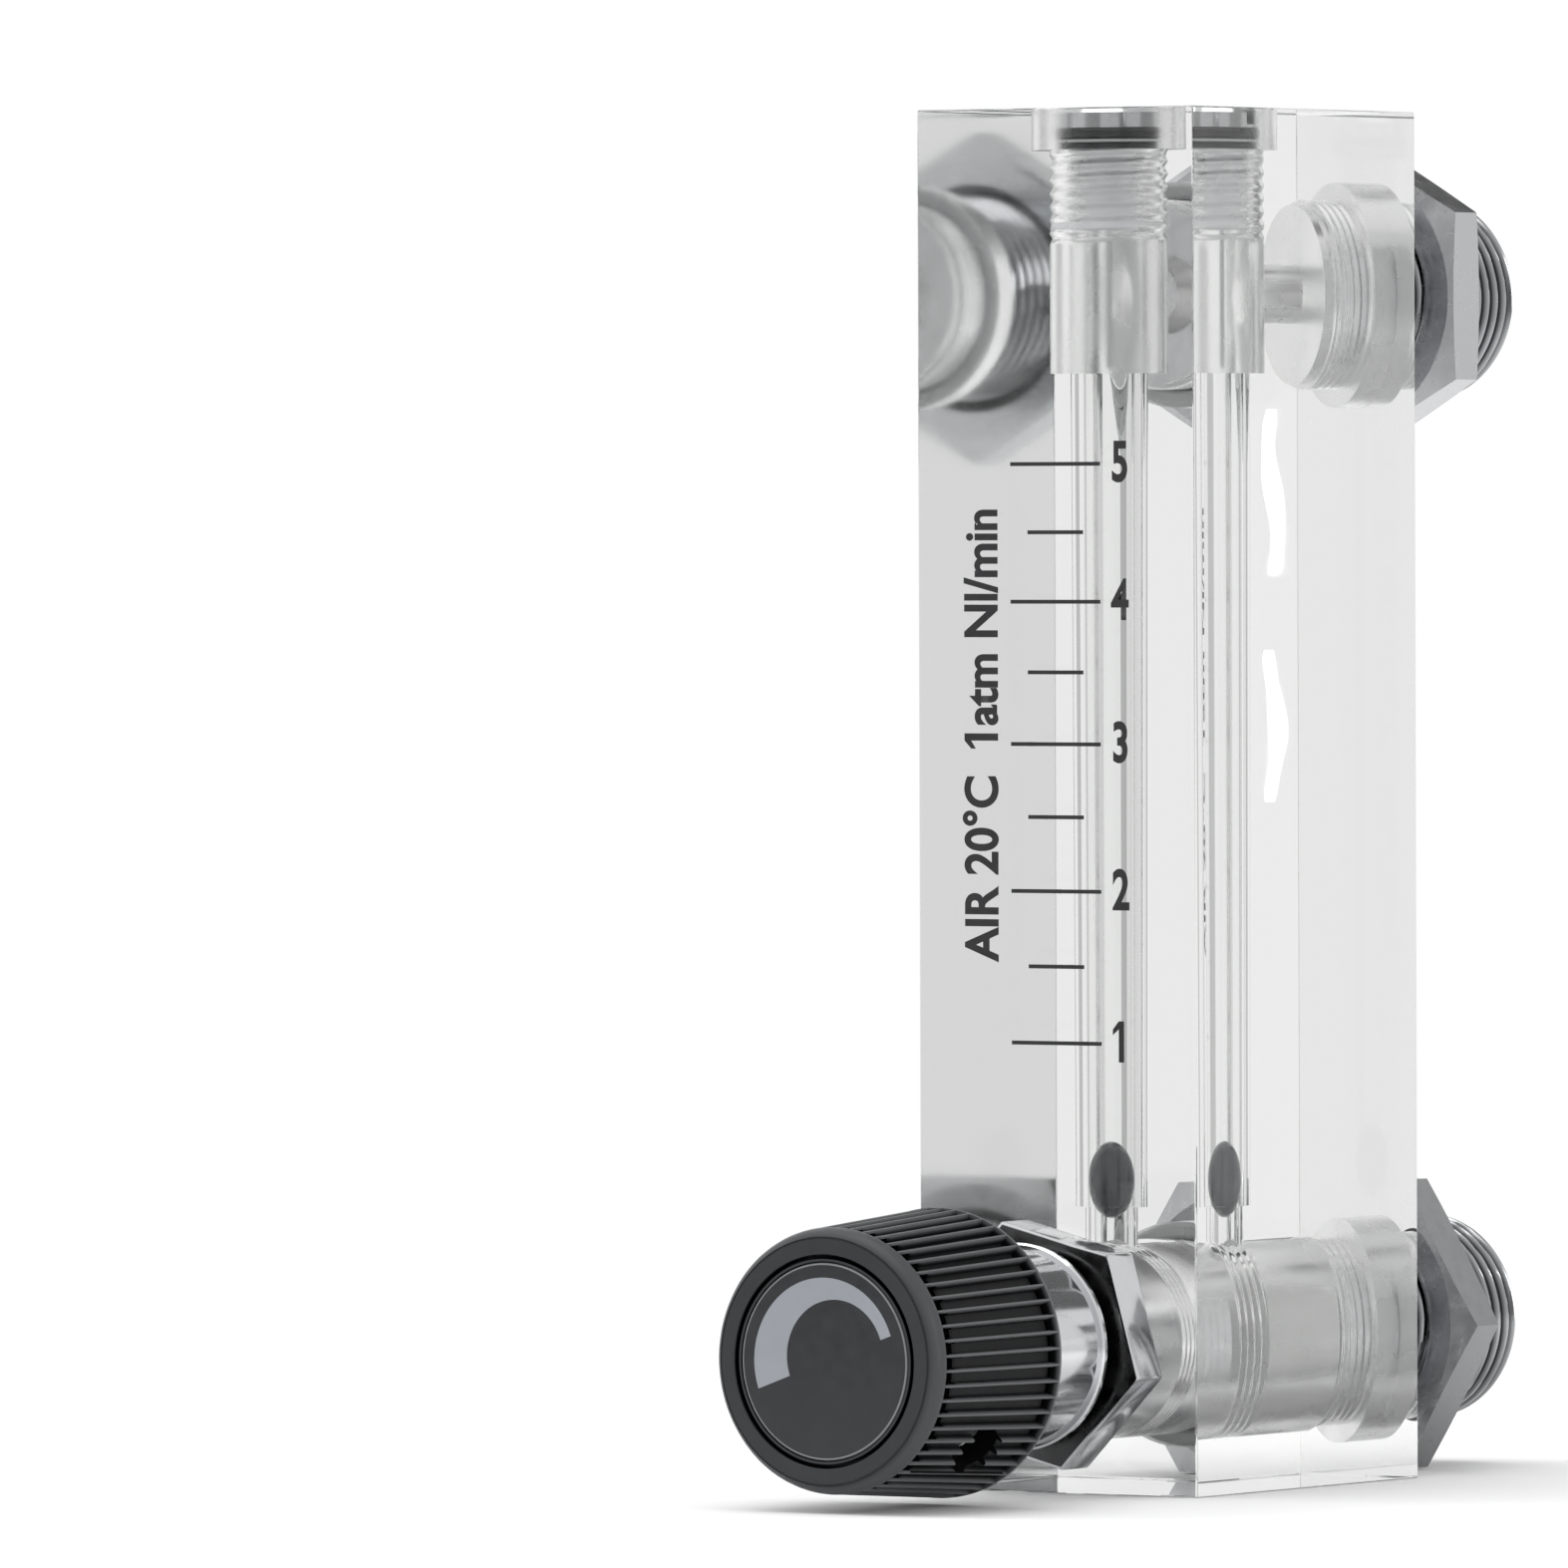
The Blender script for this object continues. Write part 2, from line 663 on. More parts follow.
def port_hole(z, deep):
    """Hole for a stub at height z, from the rear face to the place deep, with its seal's pocket."""
    thread_end = REAR_Y - PORT_SPIGOT_LENGTH - PORT_PITCH_INSIDE
    outside = REAR_Y + EDGE_BREAK
    pocket = REAR_Y - PORT_POCKET_DEPTH
    return turned("port_hole", [
        (0, deep),
        (PORT_CHAMBER_R, deep),
        (PORT_CHAMBER_R, thread_end),
        *thread_rows(PORT_SPIGOT_R + GAP, thread_end, pocket, PORT_PITCH_INSIDE,
                     INSIDE_THREAD_DEPTH),
        (PORT_POCKET_R, pocket),
        (PORT_POCKET_R, outside),
        (0, outside),
    ], axis_y(z))


def valve_hole():
    """Hole for bonnet and seat, from the front face, with the bonnet's thread before the seat."""
    outside = FRONT_Y - EDGE_BREAK
    thread_end = SEAT_LOW.y
    thread_start = thread_end - BONNET_THREAD_TURNS * BONNET_PITCH
    return turned("valve_hole", [
        (0, outside),
        (VALVE_HOLE_R, outside),
        (VALVE_HOLE_R, thread_start - 0.5 * BONNET_PITCH),
        *thread_rows(VALVE_HOLE_R, thread_start, thread_end, BONNET_PITCH, INSIDE_THREAD_DEPTH),
        (VALVE_HOLE_R, SEAT_HIGH.y),
        (0, SEAT_HIGH.y),
    ], axis_y(LOWER_Z))


def outlet_passage(chamber_floor):
    """Passage from the tube to the chamber at the inner end of the upper stub's hole."""
    return turned("outlet_passage", [
        (0, TUBE_Y),
        (OUTLET_PASSAGE_R, TUBE_Y),
        (OUTLET_PASSAGE_R, chamber_floor + EDGE_BREAK),
        (0, chamber_floor + EDGE_BREAK),
    ], axis_y(UPPER_Z), steps=PASSAGE_STEPS)


BLOCK_SKIN, BLOCK_CUT, BLOCK_TUBE, BLOCK_SOFT = range(4)
SKIN_DEPTH = 0.9 * EDGE_BREAK
FLAT_DEPTH = 0.1 * EDGE_BREAK
TUBE_FINISH_LOW = LOWER_Z + 5 * MM
TUBE_FINISH_HIGH = PLUG_LOW.z - 1 * MM


def clear_block():
    """The block with its holes; polished skin, machined holes, a smoother tube, one softer side."""
    bm = bmesh.new()
    bmesh.ops.create_cube(bm, size=1)
    for vert in bm.verts:
        vert.co = Vector((
            BLOCK_HIGH.x if vert.co.x > 0 else BLOCK_LOW.x,
            REAR_Y if vert.co.y > 0 else FRONT_Y,
            TOP_Z if vert.co.z > 0 else BLOCK_LOW.z,
        ))
    bmesh.ops.bevel(bm, geom=bm.edges[:], offset=EDGE_BREAK, segments=3, profile=0.5,
                    affect="EDGES")
    block = link("clear_block", mesh_from("clear_block", bm))
    upper_floor = REAR_Y - PORT_SPIGOT_LENGTH - PORT_CHAMBER_LENGTH
    combine(block, [
        tube_column(),
        port_hole(UPPER_Z, upper_floor),
        valve_hole(),
        port_hole(LOWER_Z, SEAT_HIGH.y - EDGE_BREAK),
        outlet_passage(upper_floor),
    ], "DIFFERENCE")
    dress(block, POLISHED, MACHINED, BORED, SOFT_SIDE)
    for face in block.data.polygons:
        at = face.center
        skin = min(*(at - BLOCK_LOW), *(BLOCK_HIGH - at)) < SKIN_DEPTH
        near_tube = math.hypot(at.x, at.y - TUBE_Y) < PLUG_THREAD_R
        if skin:
            index = BLOCK_SOFT if at.x - BLOCK_LOW.x < FLAT_DEPTH else BLOCK_SKIN
        elif near_tube and TUBE_FINISH_LOW < at.z < TUBE_FINISH_HIGH:
            index = BLOCK_TUBE
        else:
            index = BLOCK_CUT
        face.material_index = index
        face.use_smooth = not skin
    place(block, "meter", "acrylic", ["meter_block"])


# ---- turned and threaded metal ----


def plug():
    """Slotted plug that closes the tube at the top."""
    head_low = TOP_Z - PLUG_HEAD_THICK
    head_r = PLUG_HIGH.x
    body = turned("plug", [
        (0, PLUG_LOW.z),
        (PLUG_THREAD_R - PLUG_CHAMFER, PLUG_LOW.z),
        *plug_thread(PLUG_THREAD_R, PLUG_LOW.z + PLUG_CHAMFER, head_low),
        (head_r, head_low),
        (head_r, TOP_Z - PLUG_CHAMFER),
        (head_r - PLUG_CHAMFER, TOP_Z),
        (0, TOP_Z),
    ], axis_tube())
    bm = bmesh.new()
    bmesh.ops.create_cube(bm, size=1)
    for vert in bm.verts:
        x, y, z = vert.co
        vert.co = Vector((x * 3 * head_r, TUBE_Y + y * PLUG_SLOT, TOP_Z + z * 2 * PLUG_SLOT))
    slot = link("slot", mesh_from("slot", bm))
    combine(body, [slot], "DIFFERENCE")
    dress(body, HEAD_CHROME, SATIN)
    for face in body.data.polygons:
        face.material_index = 1 if face.center.z < head_low else 0
    place(body, "meter", "chrome", ["top_plug"])


def ring(name, radii, places, frame_of_axis, material, slot, replaced=()):
    """Seal ring with a rounded section, between two radii and two places on its axis."""
    (inner, outer), (low, high) = radii, places
    outline = []
    for i in range(RING_SECTION_STEPS):
        a = 2 * math.pi * i / RING_SECTION_STEPS
        c, s = (math.copysign(abs(v) ** RING_SQUARENESS, v) for v in (math.cos(a), math.sin(a)))
        radius = (inner + outer) / 2 + (outer - inner) / 2 * c
        outline.append((radius, (low + high) / 2 + (high - low) / 2 * s))
    made = turned(name, outline, frame_of_axis, steps=RING_STEPS, closed=True)
    dress(made, material)
    place(made, "meter", slot, replaced)


def top_seal():
    """Black ring under the plug's head, a pale backing ring and a thinner black ring below it."""
    top = TOP_Z - PLUG_HEAD_THICK
    inner = PLUG_THREAD_R + HAIR
    outer = PLUG_POCKET_R - RING_GAP
    seal_end = top - TOP_SEAL_THICK
    backing_end = top - BACKING_RING_END
    ring("top_seal", (inner, outer), (seal_end, top), axis_tube(),
         BLACK_RUBBER, "black_rubber", ["top_plug_oring"])
    ring("backing_ring", (inner, outer), (backing_end, seal_end), axis_tube(),
         PALE_RUBBER, "pale_rubber")
    ring("lower_seal", (inner, outer - LOWER_SEAL_INSET), (top - PLUG_RING_THICK, backing_end),
         axis_tube(), BLACK_RUBBER, "black_rubber")


def port_seal(name, z, replaced):
    """Pale seal in the pocket around a stub."""
    ring(name, (PORT_SPIGOT_R + HAIR, PORT_POCKET_R - RING_GAP),
         (REAR_Y - PORT_POCKET_DEPTH, REAR_Y), axis_y(z), PALE_RUBBER, "pale_rubber", [replaced])


STUB_THREAD, STUB_SPIGOT, STUB_SOCKET, STUB_END = range(4)
SOCKET_FINISH_R = PORT_SOCKET_R + 0.4 * MM
END_FINISH = 0.95 * PORT_END_CHAMFER


def port(name, z, replaced):
    """Threaded stub at height z, from its spigot in the block to its tapped free end."""
    end = PORT_HIGH.y
    spigot_end = PORT_LOW.y
    thread_r = size(replaced).x / 2
    stub = turned(name, [
        (PORT_BORE_R, spigot_end),
        (PORT_SPIGOT_R - PORT_SPIGOT_CHAMFER, spigot_end),
        *thread_rows(PORT_SPIGOT_R, spigot_end + PORT_SPIGOT_CHAMFER, REAR_Y - PORT_POCKET_DEPTH,
                     PORT_PITCH_INSIDE, INSIDE_THREAD_DEPTH),
        (PORT_SPIGOT_R, REAR_Y),
        (thread_r, REAR_Y),
        *thread_rows(thread_r, REAR_Y + PORT_THREAD_START, end - PORT_END_CHAMFER,
                     PORT_PITCH_OUTSIDE, PORT_THREAD_DEPTH),
        (thread_r - PORT_END_CHAMFER, end),
        (PORT_SOCKET_R + PORT_SOCKET_CHAMFER, end),
        *thread_rows(PORT_SOCKET_R, end - PORT_SOCKET_CHAMFER, end - PORT_SOCKET_DEPTH,
                     PORT_SOCKET_PITCH, -PORT_SOCKET_THREAD_DEPTH),
        (PORT_BORE_R, end - PORT_SOCKET_DEPTH),
    ], axis_y(z), closed=True)
    dress(stub, thread_metal(name + "_thread", z, thread_r), SATIN, BRIGHT_BORE, CHROME)
    for face in stub.data.polygons:
        if math.hypot(face.center.x, face.center.z - z) < SOCKET_FINISH_R:
            face.material_index = STUB_SOCKET
        elif face.center.y > end - END_FINISH:
            face.material_index = STUB_END
        else:
            face.material_index = STUB_SPIGOT if face.center.y < REAR_Y else STUB_THREAD
    place(stub, "meter", "chrome", [replaced])


BONNET_BRIGHT, BONNET_INSIDE, BONNET_DARK = range(3)


def bonnet():
    """Valve bonnet in one piece: spigot, hexagon, neck, lip and collar."""
    inner = BONNET_HIGH.y
    end = BONNET_LOW.y
    groove_front = FRONT_Y + BONNET_GROOVE_FROM_FACE
    groove_back = groove_front + BONNET_GROOVE_WIDTH
    spigot_r = VALVE_HOLE_R - GAP
    groove_r = spigot_r - BONNET_GROOVE_DEPTH
    neck = FRONT_Y - BONNET_HEX_THICK
    lip = neck - BONNET_NECK_LENGTH
    lip_end = lip - BONNET_LIP_THICK
    thread_start = inner - BONNET_THREAD_TURNS * BONNET_PITCH
    body = turned("bonnet", [
        (STEM_HOLE_R, end),
        (BONNET_COLLAR_R - BONNET_CHAMFER, end),
        (BONNET_COLLAR_R, end + BONNET_CHAMFER),
        (BONNET_COLLAR_R, lip_end),
        (BONNET_LIP_R - BONNET_ROUND, lip_end),
        (BONNET_LIP_R, lip_end + BONNET_ROUND),
        (BONNET_LIP_R, lip - BONNET_ROUND),
        (BONNET_LIP_R - BONNET_ROUND, lip),
        (BONNET_NECK_R, lip),
        (BONNET_NECK_R, FRONT_Y - BONNET_ROUND),
        (spigot_r, FRONT_Y - BONNET_ROUND),
        (spigot_r, groove_front),
        (groove_r, groove_front),
        (groove_r, groove_back),
        (spigot_r, groove_back),
        *thread_rows(spigot_r, thread_start, inner - BONNET_CHAMFER, BONNET_PITCH,
                     INSIDE_THREAD_DEPTH),
        (spigot_r - BONNET_CHAMFER, inner),
        (STEM_HOLE_R, inner),
    ], axis_y(LOWER_Z), closed=True)
    nut = hexagon("hex", BONNET_HEX_FLATS, neck, FRONT_Y, LOWER_Z, BONNET_HEX_TURN,
                  BONNET_HEX_ROUND)
    hole = turned("hex_hole", [
        (0, neck - GAP),
        (BONNET_NECK_R - BONNET_CHAMFER, neck - GAP),
        (BONNET_NECK_R - BONNET_CHAMFER, FRONT_Y + GAP),
        (0, FRONT_Y + GAP),
    ], axis_y(LOWER_Z))
    combine(nut, [hole], "DIFFERENCE")
    combine(body, [nut], "UNION")
    dress(body, CHROME, SATIN, BLACKENED)
    for face in body.data.polygons:
        y = face.center.y
        if y > FRONT_Y:
            face.material_index = BONNET_INSIDE
        elif lip - RING_GAP < y < neck + STEP:
            face.material_index = BONNET_DARK
        else:
            face.material_index = BONNET_BRIGHT
    place(body, "meter", "chrome", ["valve_bonnet"])


# ---- knob ----


def rib_ridge(angle):
    """1 on a rib's narrow top, 0 on the floor between two ribs."""
    from_middle = abs(2 * ((angle * RIB_COUNT / (2 * math.pi)) % 1) - 1)
    ridge = min(1, max(0, (RIB_FOOT_SHARE - from_middle) / (RIB_FOOT_SHARE - RIB_TOP_SHARE)))
    return ridge * ridge * (3 - 2 * ridge)


def rib_relief(angle, _place):
    """The knob's side drops between two ribs."""
    return -RIB_HEIGHT * (1 - rib_ridge(angle))


def pit_relief(angle, _place):
    """The floor between two ribs drops at both their ends."""
    return -PIT_DEPTH * (1 - rib_ridge(angle))


KNOB_BODY, KNOB_HOLE, KNOB_PIT = range(3)


def knob():
    """Ribbed knob with label pocket, recess for the collar, stem hole and set-screw hole."""
    rear, front = KNOB_HIGH.y, KNOB_LOW.y
    rear_r = KNOB_HIGH.x
    rib_front = rear - KNOB_RIBBED_LENGTH
    pocket_floor = LABEL_HIGH.y
    recess_floor = rear - COLLAR_RECESS_DEPTH
    edge_end = rib_front - KNOB_RIM_THICK
    label_r = LABEL_HIGH.x + RING_GAP
    stem_r = STEM_HOLE_R + HAIR
    stem_floor = rear - KNOB_STEM_DEPTH - POCKET_GAP
    flange_front = rear - FLANGE_THICK

    def rib_top(y):
        return KNOB_FRONT_R + (rear_r - KNOB_FRONT_R) * (y - rib_front) / KNOB_RIBBED_LENGTH

    body = turned("knob_body", [
        (0, pocket_floor),
        (label_r, pocket_floor),
        (label_r, front + LABEL_LIP_DEPTH),
        (LABEL_LIP_R, front + LABEL_LIP_DEPTH),
        (LABEL_LIP_R, pocket_floor),
        (LABEL_POCKET_R, pocket_floor),
        (LABEL_POCKET_R, front + KNOB_EDGE),
        (LABEL_POCKET_R + KNOB_EDGE, front),
        (KNOB_FACE_R, front),
        *((KNOB_FACE_R + out * MM, front + back * MM) for out, back in RIM_GROOVE),
        *((KNOB_FRONT_R - inset * MM, front + back * MM) for inset, back in RIM_EDGE),
        *((KNOB_FRONT_R - inset * MM, edge_end + back * MM) for inset, back in RIM_BACK),
        (KNOB_FRONT_R, rib_front - STEP),
        (rib_top(rib_front), rib_front, pit_relief),
        (rib_top(rib_front + PIT_LENGTH), rib_front + PIT_LENGTH, pit_relief),
        (rib_top(rib_front + PIT_LENGTH), rib_front + PIT_LENGTH + GAP, rib_relief),
        (rib_top(rib_front + SHADED_LENGTH), rib_front + SHADED_LENGTH, rib_relief),
        (rib_top(flange_front - PIT_LENGTH), flange_front - PIT_LENGTH - GAP, rib_relief),
        (rib_top(flange_front - PIT_LENGTH), flange_front - PIT_LENGTH, pit_relief),
        (rib_top(flange_front), flange_front - STEP, pit_relief),
        (rear_r, flange_front),
        (rear_r, rear - KNOB_EDGE),
        (rear_r - KNOB_EDGE, rear),
        (COLLAR_RECESS_R, rear),
        (COLLAR_RECESS_R, recess_floor),
        (stem_r, recess_floor),
        (stem_r, stem_floor),
        (0, stem_floor),
    ], axis_y(LOWER_Z), steps=RIB_COUNT * RIB_STEPS)
    screw_y = middle("set_screw").y
    screw_level = Vector((0, screw_y, LOWER_Z))
    outward = (middle("set_screw") - screw_level).normalized()
    across = outward.cross(Vector((0, 1, 0)))
    turn = Matrix((
        (across.x, 0, outward.x, 0),
        (across.y, 1, outward.y, screw_y),
        (across.z, 0, outward.z, LOWER_Z),
        (0, 0, 0, 1),
    ))
    start, end = SCREW_HOLE_REACH
    outline = [(0, start), (SCREW_HOLE_R, start), (SCREW_HOLE_R, end), (0, end)]
    hole = turned("screw_hole", outline, turn, steps=HOLE_STEPS)
    combine(body, [hole], "DIFFERENCE")
    dress(body, KNOB, HOLE_BLACK, PIT_BLACK)
    for face in body.data.polygons:
        x, y, z = face.center
        along = (face.center - screw_level).dot(outward)
        from_screw = (face.center - screw_level - outward * along).length
        at_front = rib_front < y < rib_front + SHADED_LENGTH
        if at_front and math.hypot(x, z - LOWER_Z) < rib_top(y) - SHADED_BELOW_TIP:
            face.material_index = KNOB_PIT
        elif along > 0 and from_screw < SCREW_HOLE_R + STEP:
            face.material_index = KNOB_HOLE
        else:
            face.material_index = KNOB_BODY
    place(body, "handle", "knob_black", ["knob"])


ARC_R = 6.28 * MM
ARC_HOLE_R = 4.3 * MM
ARC_HOLE_OFFSET = Vector((0.95 * MM, 0.35 * MM))
ARC_START = math.radians(200)
ARC_END = math.radians(19)
ARC_STEPS = 96
PRINT_THICK = 0.02 * MM


def label_arc():
    """Pale arc printed on the label: full at its lower left end and thin at its right end."""
    bm = bmesh.new()
    rows = []
    for i in range(ARC_STEPS + 1):
        a = ARC_START + (ARC_END - ARC_START) * i / ARC_STEPS
        out = Vector((math.cos(a), math.sin(a)))
        b = out.dot(ARC_HOLE_OFFSET)
        inner = b + math.sqrt(ARC_HOLE_R ** 2 - ARC_HOLE_OFFSET.length_squared + b * b)
        rows.append([Vector((r * out.x, 0, LOWER_Z + r * out.y)) for r in (inner, ARC_R)])
    layers = []
    for y in (LABEL_LOW.y, LABEL_LOW.y - PRINT_THICK):
        layers.append([[bm.verts.new(p + Vector((0, y, 0))) for p in row] for row in rows])
    back, face = layers
    for i in range(ARC_STEPS):
        bm.faces.new((face[i][0], face[i][1], face[i + 1][1], face[i + 1][0]))
        bm.faces.new((back[i][1], back[i][0], back[i + 1][0], back[i + 1][1]))
        for k in (0, 1):
            bm.faces.new((face[i][k], back[i][k], back[i + 1][k], face[i + 1][k]))
    for i in (0, ARC_STEPS):
        bm.faces.new((face[i][0], face[i][1], back[i][1], back[i][0]))
    arc = link("label_arc", mesh_from("label_arc", bm))
    dress(arc, ARC)
    place(arc, "handle", "label")


# ---- print on the front face ----

NUMERAL_HEIGHT, NUMERAL_STRETCH = 4.25 * MM, 0.74
NUMERAL_GAP = 1.0 * MM  # from the scale's lines
WORDS = "AIR 20°C  1atm Nl/min"
WORDS_HEIGHT, WORDS_STRETCH = 4.15 * MM, 0.872
WORDS_X = -6.6 * MM
WORDS_ABOVE_MIDDLE = 1.45 * MM  # of the scale
WORDS_ONE = 7  # outlines before the figure one
LETTER_WEIGHT = 0.028  # added to each outline, as a share of the height
ONE_REACH = 1.1  # the slanted stroke, in widths of the figure's bar
ONE_DROP, ONE_END = 0.2, 0.34  # in heights of the bar, below its top


def islands(bm):
    """Separate glyph outlines, from left to right."""
    left = set(bm.verts)
    found = []
    while left:
        group, edge = set(), [left.pop()]
        while edge:
            vert = edge.pop()
            group.add(vert)
            near = {other for e in vert.link_edges for other in e.verts} & left
            left -= near
            edge.extend(near)
        found.append(group)
    return sorted(found, key=lambda group: min(v.co.x for v in group))


def add_flag(mesh, place_of_one):
    """Gives the figure one, a plain bar in this typeface, a slanted stroke at its top."""
    bm = bmesh.new()
    bm.from_mesh(mesh)
    bar = islands(bm)[place_of_one]
    left, right = min(v.co.x for v in bar), max(v.co.x for v in bar)
    low, high = min(v.co.y for v in bar), max(v.co.y for v in bar)
    bar_z = min(v.co.z for v in bar)
    tip = left - ONE_REACH * (right - left)
    drop = high - ONE_DROP * (high - low)
    corners = ((left, high), (tip, drop), (tip, high - ONE_END * (high - low)), (left, drop))
    bm.faces.new([bm.verts.new((x, y, bar_z)) for x, y in corners])
    bm.to_mesh(mesh)
    bm.free()


def lettering(name, words, height, stretch, x, z, turn=0.0, align="LEFT", one=None):
    """Printed words at (x, z) on the front face; one is the place of a figure one in them."""
    curve = bpy.data.curves.new(name, "FONT")
    curve.body = words
    curve.size = height
    curve.align_x = align
    curve.align_y = "CENTER"
    curve.offset = LETTER_WEIGHT * height
    text = link(name, curve)
    text.matrix_world = (
        Matrix.Translation(Vector((x, FRONT_Y - PRINT_THICK, z)))
        @ Matrix.Rotation(math.radians(90), 4, "X")
        @ Matrix.Rotation(turn, 4, "Z")
        @ Matrix.Diagonal(Vector((stretch, 1, 1, 1)))
    )
    bpy.context.view_layer.update()
    graph = bpy.context.evaluated_depsgraph_get()
    mesh = bpy.data.meshes.new_from_object(text.evaluated_get(graph))
    if one is not None:
        add_flag(mesh, one)
    mesh.transform(text.matrix_world)
    mesh.name = name
    obj = link(name + "_print", mesh)
    bpy.data.objects.remove(text)
    bpy.data.curves.remove(curve)
    dress(obj, INK)
    place(obj, "meter", "ink")


def scale_print():
    """Numerals beside every other line of the scale, and the unit words along it."""
    low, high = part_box("scale_marks")
    lines = sorted({round(v.co.z, 5) for v in nodes["scale_marks"].data.vertices}, reverse=True)
    centres = [(a + b) / 2 for a, b in zip(lines[0::2], lines[1::2])]
    for number, z in zip((5, 4, 3, 2, 1), centres[0::2]):
        lettering(f"numeral_{number}", str(number), NUMERAL_HEIGHT, NUMERAL_STRETCH,
                  high.x + NUMERAL_GAP, z, one=0 if number == 1 else None)
    words_z = (low.z + high.z) / 2 + WORDS_ABOVE_MIDDLE
    lettering("unit_words", WORDS, WORDS_HEIGHT, WORDS_STRETCH, WORDS_X, words_z,
              turn=math.radians(90), align="CENTER", one=WORDS_ONE)


# ---- the CAD pieces that stay ----

NODE_MATERIALS = {
    "scale_marks": INK,
    "float_stop": STEEL,
    "float_ball": BALL,
    "upper_nut": NUT_PLATE,
    "lower_nut": DULL_NUT_PLATE,
    "bonnet_seal": PALE_RUBBER,
    "valve_seat": SEAT,
    "valve_stem": STEEL,
    "stem_oring": BLACK_RUBBER,
    "knob_label": LABEL,
    "set_screw": BLACKENED,
}


def dress_nodes():
    """Looks and smooth shading for the frame's own nodes; their shapes stay."""
    for name, material in NODE_MATERIALS.items():
        node = nodes[name]
        dress(node, material)
        node.modifiers.new("smooth_by_angle", "EDGE_SPLIT").split_angle = SHARP_ANGLE
        node.data.polygons.foreach_set("use_smooth", [True] * len(node.data.polygons))


# ---- studio ----

CAMERA_PLACE = Vector((0.7238, -1.1404, 0.0756))
CAMERA_YAW = math.radians(-33.658)
CAMERA_PITCH = math.radians(-0.921)
CAMERA_ROLL = math.radians(-0.187)
CAMERA_LENS = 403.3


def camera():
    data = bpy.data.cameras.new("camera")
    data.lens = CAMERA_LENS
    data.sensor_width = 36
    data.clip_start = 0.05
    data.clip_end = 20
    obj = link("camera", data)
    ahead = Vector((
        math.sin(CAMERA_YAW) * math.cos(CAMERA_PITCH),
        math.cos(CAMERA_YAW) * math.cos(CAMERA_PITCH),
        math.sin(CAMERA_PITCH),
    ))
    right = Vector((math.cos(CAMERA_YAW), -math.sin(CAMERA_YAW), 0))
    up = right.cross(ahead)
    right_rolled = right * math.cos(CAMERA_ROLL) + up * math.sin(CAMERA_ROLL)
    up_rolled = up * math.cos(CAMERA_ROLL) - right * math.sin(CAMERA_ROLL)
    turn = Matrix((right_rolled, up_rolled, -ahead)).transposed().to_4x4()
    obj.matrix_world = Matrix.Translation(CAMERA_PLACE) @ turn
    bpy.context.scene.camera = obj


def bare_material(obj):
    """Empty node tree of a new material on the object."""
    material = bpy.data.materials.new(obj.name)
    material.use_nodes = True
    material.node_tree.nodes.clear()
    obj.data.materials.append(material)
    return material.node_tree


FLOOR_RADIUS = 0.5
FLOOR_FADE = (0.06, 0.3)
FLOOR_TONE = (0.92, 0.92, 0.92, 1)
FLOOR_BELOW = 0.00002


def floor():
    """Pale floor around the part's foot that fades out to nothing."""
    bm = bmesh.new()
    bmesh.ops.create_circle(bm, cap_ends=True, segments=96, radius=FLOOR_RADIUS)
    obj = link("floor", mesh_from("floor", bm))
    obj.location = (0, 0, -FLOOR_BELOW)
    tree = bare_material(obj)
    out = add_node(tree, "ShaderNodeOutputMaterial")
    diffuse = add_node(tree, "ShaderNodeBsdfDiffuse", Color=FLOOR_TONE)
    clear = add_node(tree, "ShaderNodeBsdfTransparent")
    coords = add_node(tree, "ShaderNodeTexCoord")
    length = add_node(tree, "ShaderNodeVectorMath", operation="LENGTH")
    mix = add_node(tree, "ShaderNodeMixShader")
    fade = map_range(tree, length.outputs["Value"], *FLOOR_FADE, 0, 1,
                     interpolation_type="SMOOTHSTEP")
    fill(tree, (
        (length.inputs[0], coords.outputs["Object"]),
        (mix.inputs[0], fade),
        (mix.inputs[1], diffuse.outputs[0]),
        (mix.inputs[2], clear.outputs[0]),
        (out.inputs["Surface"], mix.outputs[0]),
    ))


# Slow dimming of the sky: direction, cosines of start and end, level at its end.
SKY_SLOPES = (
    ((1, 0, 0), -0.5, 0.9, 0.78),
    ((0, -1, 0), 0.3, 0.9, 0.94),
)
# Dark cards in the sky: direction, half width in degrees, level there, and level for rays that
# came through the block.
FLAGS = (
    ((1, -0.1, 0.05), 22, 0.3, 0.5),
    ((-0.1, -1, 0.1), 20, 0.3, 0.5),
    ((-1, 0.1, 0.05), 18, 0.4, 0.6),
    ((0.05, 1, 0.05), 11, 0.4, 0.55),
    ((0.1, 0.7, 0.9), 20, 0.4, 0.9),
    ((-0.12, 0.83, 0.55), 20, 0.12, 0.12),
    ((-0.554, -0.832, 0), 17, 0.12, 1.0),
)
FLAG_SOFT_EDGE = 0.3


def sky_ramp(tree, coords, direction, start, end, low, high):
    """Value over the sky that goes from low to high as the view turns towards direction."""
    facing = add_node(tree, "ShaderNodeVectorMath", operation="DOT_PRODUCT")
    fill(tree, zip(facing.inputs, (coords.outputs["Generated"], Vector(direction).normalized())))
    return map_range(tree, facing.outputs["Value"], start, end, low, high,
                     interpolation_type="SMOOTHSTEP")


def blend_values(tree, share, low, high):
    """low where share is 0 and high where it is 1; each is a number or a socket."""
    node = add_node(tree, "ShaderNodeMix", data_type="FLOAT")
    fill(tree, ((node.inputs[0], share), (node.inputs[2], low), (node.inputs[3], high)))
    return node.outputs[0]


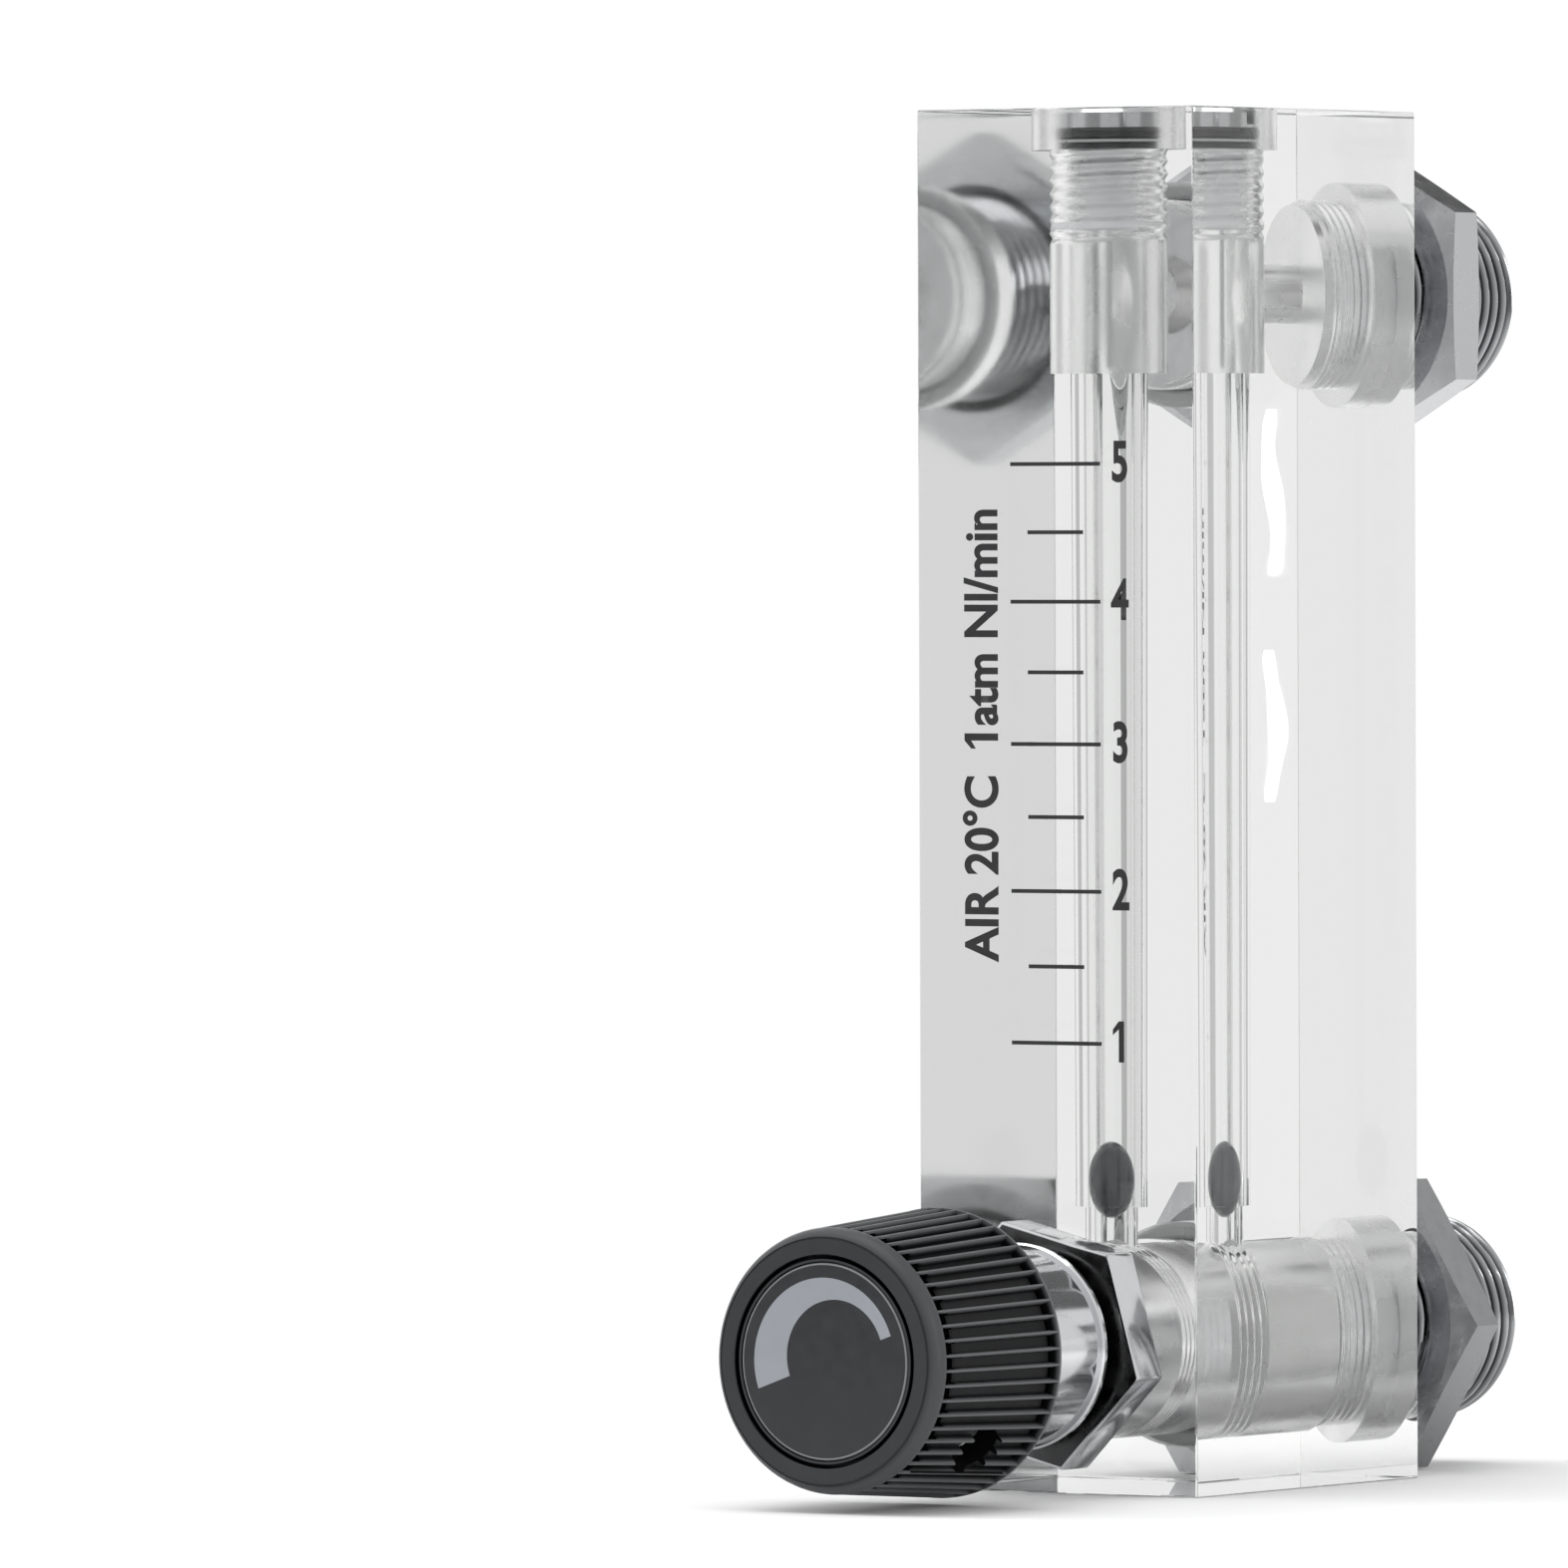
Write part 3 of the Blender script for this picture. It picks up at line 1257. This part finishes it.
def world():
    """White for the camera; for all other rays a sky with slopes and dark cards."""
    made = bpy.data.worlds.new("studio")
    made.use_nodes = True
    bpy.context.scene.world = made
    tree = made.node_tree
    tree.nodes.clear()
    coords = add_node(tree, "ShaderNodeTexCoord")
    path = add_node(tree, "ShaderNodeLightPath")
    level = 1.0
    for direction, start, end, dim in SKY_SLOPES:
        slope = sky_ramp(tree, coords, direction, start, end, 1.0, dim)
        level = calculate(tree, "MULTIPLY", level, slope)
    for direction, width, dim, dim_through_block in FLAGS:
        edge = math.cos(math.radians(width))
        flag = sky_ramp(tree, coords, direction, edge, edge + FLAG_SOFT_EDGE * (1 - edge), 0.0, 1.0)
        through = path.outputs["Is Transmission Ray"]
        dimmed = blend_values(tree, through, dim, dim_through_block)
        level = calculate(tree, "MULTIPLY", level, blend_values(tree, flag, 1.0, dimmed))
    background = add_node(tree, "ShaderNodeBackground", Color=(1, 1, 1, 1))
    out = add_node(tree, "ShaderNodeOutputWorld")
    strength = blend_values(tree, path.outputs["Is Camera Ray"], level, 1.0)
    fill(tree, (
        (background.inputs["Strength"], strength),
        (out.inputs["Surface"], background.outputs[0]),
    ))


LAMP_AIM = Vector((0, 0, 0.05))
LAMPS = (  # name, place, width, height, power
    ("overhead", (-0.1, -0.1, 1.1), 0.9, 0.9, 5),
    ("left", (-1.15, -0.35, 0.55), 0.5, 0.9, 5),
    ("right_strip", (1.1, 0.1, 0.35), 0.25, 0.9, 3),
)


def softbox(name, place_at, width, height, power):
    """Rectangular lamp that isn't seen through the block."""
    data = bpy.data.lights.new(name, "AREA")
    data.shape = "RECTANGLE"
    data.size = width
    data.size_y = height
    data.energy = power
    obj = link(name, data)
    obj.location = place_at
    obj.visible_transmission = False
    obj.rotation_euler = (LAMP_AIM - Vector(place_at)).to_track_quat("-Z", "Y").to_euler()


GLINT_PLACE = (0.5433, 0.8427)
GLINT_FACING = (-0.546, -0.838, 0)
GLINT_HALF_WIDTH = 1.35 * MM
GLINT_WAISTS = (0.16, 6)  # share of the width, angle from the middle to an end
GLINT_BENDS = (0.6 * MM, 3.1, 40)  # sideways reach, angle to an end, shift of the wave with height
GLINT_STEPS = 32
GLINT_STRENGTH = 7
GLINTS = (("glint_upper", 0.0766, 23.6 * MM), ("glint_lower", 0.0455, 21.6 * MM))


def glint_card(name, z, tall):
    """Small bright card with a wavy outline, seen only as a glint in the block's right side."""
    bm = bmesh.new()
    along = Vector(GLINT_FACING).cross(Vector((0, 0, 1))).normalized()
    waist, waist_angle = GLINT_WAISTS
    bend, bend_angle, bend_shift = GLINT_BENDS
    rows = []
    for i in range(1, GLINT_STEPS):
        t = 2 * i / GLINT_STEPS - 1
        half = GLINT_HALF_WIDTH * (1 - t ** 4) ** 0.5
        half *= 1 - waist + waist * math.cos(waist_angle * t)
        middle_at = along * bend * math.sin(bend_angle * t + bend_shift * z)
        middle_at.z += t * tall / 2
        rows.append([bm.verts.new(middle_at + along * side * half) for side in (-1, 1)])
    for low, high in zip(rows, rows[1:]):
        bm.faces.new((low[0], low[1], high[1], high[0]))
    card = link(name, mesh_from(name, bm))
    card.location = (*GLINT_PLACE, z)
    tree = bare_material(card)
    glow = add_node(tree, "ShaderNodeEmission", Strength=GLINT_STRENGTH)
    out = add_node(tree, "ShaderNodeOutputMaterial")
    tree.links.new(glow.outputs[0], out.inputs["Surface"])
    for rays in ("camera", "diffuse", "transmission", "shadow"):
        setattr(card, f"visible_{rays}", False)


def studio():
    world()
    for lamp in LAMPS:
        softbox(*lamp)
    for glint in GLINTS:
        glint_card(*glint)
    floor()


camera()
clear_block()
plug()
top_seal()
port("upper_stub", UPPER_Z, "upper_port")
port("lower_stub", LOWER_Z, "lower_port")
port_seal("upper_seal", UPPER_Z, "upper_port_oring")
port_seal("lower_port_seal", LOWER_Z, "lower_port_oring")
bonnet()
knob()
label_arc()
scale_print()
dress_nodes()
studio()

scene = bpy.context.scene
scene.view_settings.view_transform = "Standard"
scene.cycles.max_bounces = 24
scene.cycles.glossy_bounces = 20
scene.cycles.transmission_bounces = 24
